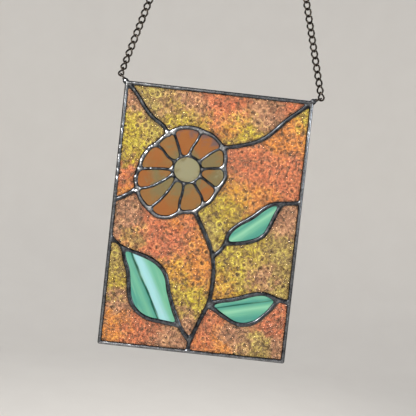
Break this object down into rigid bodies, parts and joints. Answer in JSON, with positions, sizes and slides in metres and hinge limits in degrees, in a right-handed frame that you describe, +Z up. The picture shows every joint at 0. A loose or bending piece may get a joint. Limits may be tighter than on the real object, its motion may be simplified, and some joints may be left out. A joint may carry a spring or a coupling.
{
  "type": "stained glass window",
  "caption": "Small leaded stained glass panel with a flower and leaves in rippled and opal glass, hanging from a thin chain hooked to rings at its top corners.",
  "frame": {"origin": "the point where a hook bears under the upper wire of the chain's middle link", "axes": "+Z up, -Y out of the panel's front, +X to the right of someone who faces the front"},
  "size_m": [0.1413, 0.0062, 0.4291],
  "materials": {
    "solder": "dark patina on lumpy hand-run solder",
    "rippled_glass": "see-through, deeply rippled, streaked coral, amber, lime and mauve",
    "petal_glass": "smooth opal, amber to plum",
    "centre_glass": "smooth opal, pale olive",
    "leaf_glass": "smooth opal, turquoise with white and dark green streaks",
    "chain": "gunmetal wire"
  },
  "bodies": {
    "root": {"solder_lattice": "solder", "pane_top": "rippled_glass", "pane_upper_left": "rippled_glass", "pane_centre": "rippled_glass", "pane_lower_left": "rippled_glass", "pane_upper_right": "rippled_glass", "pane_middle_right": "rippled_glass", "pane_lower_right": "rippled_glass", "leaf_lower_left": "leaf_glass", "leaf_upper_right": "leaf_glass", "leaf_lower_right": "leaf_glass", "petal_01": "petal_glass", "petal_02": "petal_glass", "petal_03": "petal_glass", "petal_04": "petal_glass", "petal_05": "petal_glass", "petal_06": "petal_glass", "petal_07": "petal_glass", "petal_08": "petal_glass", "petal_09": "petal_glass", "petal_10": "petal_glass", "petal_11": "petal_glass", "flower_centre": "centre_glass", "hanging_ring_left": "chain", "hanging_ring_right": "chain", "chain_left": "chain", "chain_right": "chain", "chain_top_link": "chain"}
  },
  "joints": []
}
